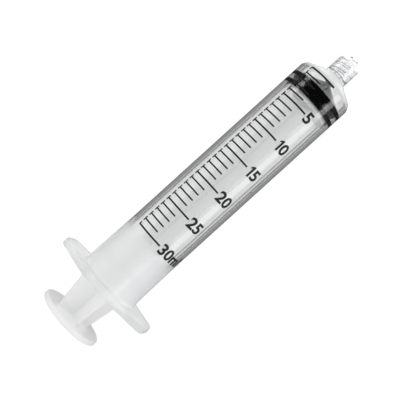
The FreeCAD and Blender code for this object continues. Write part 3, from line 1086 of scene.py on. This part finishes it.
# Edges of the painted shade wedge: its slope, where it has faded out, where it is full
WEDGE_EDGES = (
    (-0.35, -6 * MM, -14 * MM),
    (0.1, FROST_X - 2 * MM, FROST_X + 3 * MM),
)
floor_mesh = bpy.data.meshes.new("floor")
floor_corners = [
    (side_x * HALF_FLOOR, side_y * HALF_FLOOR, FLOOR_Z)
    for side_x, side_y in ((-1, -1), (1, -1), (1, 1), (-1, 1))
]
floor_mesh.from_pydata(floor_corners, [], [(0, 1, 2, 3)])
floor = bpy.data.objects.new("floor", floor_mesh)
bpy.context.scene.collection.objects.link(floor)
print(f"floor at z {FLOOR_Z / MM:.2f} mm, {2 * HALF_FLOOR:.0f} m wide")


def beside_tube(tree):
    """Mask for the painted shade wedges on the floor, one each side of the clear part of the
    tube.
    """
    place_of = add_node(tree, "ShaderNodeTexCoord").outputs["Object"]
    spot = add_node(tree, "ShaderNodeSeparateXYZ", {"Vector": place_of}).outputs
    aside = add_math(tree, "ABSOLUTE", spot["Y"])
    mask = 1.0
    for slope, none_at, full_at in WEDGE_EDGES:
        slanted = add_math(tree, "MULTIPLY_ADD", aside, slope, spot["X"])
        mask = add_math(tree, "MULTIPLY", soft_step(tree, slanted, none_at, full_at), mask)
    return mask


def reflected_inside(tree, path):
    """1 for light that left the plastic after a mirror reflection inside it."""
    reflected = add_math(tree, "MINIMUM", path["Glossy Depth"], 1.0)
    return add_math(tree, "MULTIPLY", reflected, path["Is Transmission Ray"])


def white_floor():
    material, tree = new_material("white_floor")
    paper = add_node(tree, "ShaderNodeBsdfDiffuse", {"Color": PAPER_WHITE})
    lit = add_node(tree, "ShaderNodeBsdfDiffuse", {"Color": SHADE_PAPER})
    glow = add_node(tree, "ShaderNodeEmission", {"Strength": SHOWN_GLOW})
    shown = add_node(tree, "ShaderNodeAddShader", {0: lit.outputs[0], 1: glow.outputs[0]})
    dim = add_node(tree, "ShaderNodeEmission", {"Strength": FLOOR_IN_GLOSS})
    path = add_node(tree, "ShaderNodeLightPath").outputs
    seen = add_math(tree, "MAXIMUM", path["Is Camera Ray"], path["Is Transmission Ray"])
    # Painted shade: grey wedges beside the tube, shown only to light mirrored inside the plastic
    painted_wedge_share = add_math(tree, "MULTIPLY", reflected_inside(tree, path), beside_tube(tree))
    painted_wedge_grey = add_node(tree, "ShaderNodeEmission", {"Strength": PAINTED_WEDGE_SHADE})
    mirrored = add_node(tree, "ShaderNodeMixShader", {
        "Fac": path["Is Glossy Ray"], 1: paper.outputs[0], 2: dim.outputs[0],
    })
    mixed = add_node(tree, "ShaderNodeMixShader", {
        "Fac": seen, 1: mirrored.outputs[0], 2: shown.outputs[0],
    })
    mixed = add_node(tree, "ShaderNodeMixShader", {
        "Fac": painted_wedge_share, 1: mixed.outputs[0], 2: painted_wedge_grey.outputs[0],
    })
    add_node(tree, "ShaderNodeOutputMaterial", {"Surface": mixed.outputs[0]})
    return material


dress(floor_mesh, white_floor())

# %% World
HORIZON = (0.02, 0.25)
SKY_LIGHT = 1.1
SKY_IN_GLOSS = 0.1
SKY_OVERHEAD = 0.02


def build_world():
    world = bpy.data.worlds.new("studio")
    world.use_nodes = True
    tree = world.node_tree
    tree.nodes.clear()
    path = add_node(tree, "ShaderNodeLightPath").outputs
    direction = add_node(tree, "ShaderNodeTexCoord").outputs["Generated"]
    height = add_node(tree, "ShaderNodeSeparateXYZ", {"Vector": direction}).outputs["Z"]
    seen_through = soft_step(tree, height, *HORIZON, 1.0, SKY_OVERHEAD)
    mirrored = soft_step(tree, height, *HORIZON, SKY_IN_GLOSS, SKY_OVERHEAD)
    level = SKY_LIGHT
    for ray, strength in (
        (path["Is Glossy Ray"], mirrored),
        (path["Is Transmission Ray"], seen_through),
        (path["Is Camera Ray"], 1.0),
    ):
        switch = add_node(tree, "ShaderNodeMix", {"Factor": ray, "A": level, "B": strength})
        level = switch.outputs[0]
    sky = add_node(tree, "ShaderNodeBackground", {"Strength": level})
    add_node(tree, "ShaderNodeOutputWorld", {"Surface": sky.outputs[0]})
    bpy.context.scene.world = world
    print(f"world: {len(tree.nodes)} nodes, light {SKY_LIGHT} on the object")


build_world()

# %% Lamps
CAMERA_LEAN = math.radians(12.0)
LAMP_LEAN = math.radians(65.0)
LAMP_DISTANCE = 0.42
CARD_SIZE = (0.06, 0.07)
CARD_X = 0.034
CARD_ABOVE_FLOOR = 0.0001
CARD_RADIANCE = 2.7


def soft_lamp(name, lean, along_x, size, radiance):
    """Soft lamp beside the syringe, facing its axis, seen only in its gloss."""
    lamp = bpy.data.lights.new(name, "AREA")
    lamp.shape = "RECTANGLE"
    lamp.size, lamp.size_y = size
    lamp.energy = radiance * math.pi * size[0] * size[1]
    holder = bpy.data.objects.new(name, lamp)
    bpy.context.scene.collection.objects.link(holder)
    along = Vector((1, 0, 0))
    back = on_axis(0, 1, lean)
    turn = Matrix((along, back.cross(along), back)).transposed()
    spot = back * LAMP_DISTANCE + along * along_x
    holder.matrix_world = Matrix.Translation(spot) @ turn.to_4x4()
    holder.visible_camera = False
    holder.visible_diffuse = False
    print(f"{name}: {lamp.energy:.3f} W")


near_lean = CAMERA_LEAN + LAMP_LEAN - math.radians(2.5)
far_lean = CAMERA_LEAN - LAMP_LEAN
veil_lean = far_lean + math.radians(1.5)
soft_lamp("near_strip", near_lean, along_x=-0.04, size=(0.6, 0.16), radiance=2.4)
soft_lamp("far_window", far_lean, along_x=0.069, size=(0.03, 0.13), radiance=2.5)
soft_lamp("far_veil", veil_lean, along_x=-0.1, size=(0.29, 0.31), radiance=1.1)


def front_card():
    """White card on the floor before the nozzle, seen only in the shoulder's gloss."""
    card = bpy.data.lights.new("front_card", "AREA")
    card.shape = "RECTANGLE"
    card.size, card.size_y = CARD_SIZE
    card.energy = CARD_RADIANCE * math.pi * card.size * card.size_y
    holder = bpy.data.objects.new("front_card", card)
    bpy.context.scene.collection.objects.link(holder)
    holder.location = (CARD_X, 0, FLOOR_Z + CARD_ABOVE_FLOOR)
    holder.rotation_euler = (math.pi, 0, 0)
    holder.visible_camera = False
    holder.visible_diffuse = False
    holder.visible_transmission = False
    print(f"front_card: {card.energy:.3f} W")


front_card()

# %% [markdown]
# ## Camera
#
# The photograph looks down on the syringe as it lies, from a little towards its near
# side, and it is turned so that the nozzle points up and to the right. The camera stands
# where a line to the middle of the tube meets it squarely.

# %% Camera
CAMERA_DISTANCE = 0.252
CAMERA_ROLL = math.radians(42.2)
AIM_X = -0.0760
AIM_ASIDE = 0.00006
SENSOR_MM = 36.0
FOCAL_MM = 62.15


def add_camera():
    data = bpy.data.cameras.new("camera")
    data.sensor_width = SENSOR_MM
    data.lens = FOCAL_MM
    data.clip_start, data.clip_end = 0.01, 20.0
    camera = bpy.data.objects.new("camera", data)
    bpy.context.scene.collection.objects.link(camera)
    along = Vector((1, 0, 0))
    back = on_axis(0, 1, CAMERA_LEAN)
    aside = back.cross(along)
    right = along * math.cos(CAMERA_ROLL) - aside * math.sin(CAMERA_ROLL)
    up = along * math.sin(CAMERA_ROLL) + aside * math.cos(CAMERA_ROLL)
    turn = Matrix((right, up, back)).transposed()
    spot = along * AIM_X + aside * AIM_ASIDE + back * CAMERA_DISTANCE
    camera.matrix_world = Matrix.Translation(spot) @ turn.to_4x4()
    bpy.context.scene.camera = camera
    print("camera at", [round(value, 4) for value in spot])


add_camera()
bpy.context.scene.view_settings.view_transform = "Standard"
bpy.context.scene.cycles.transparent_max_bounces = 24
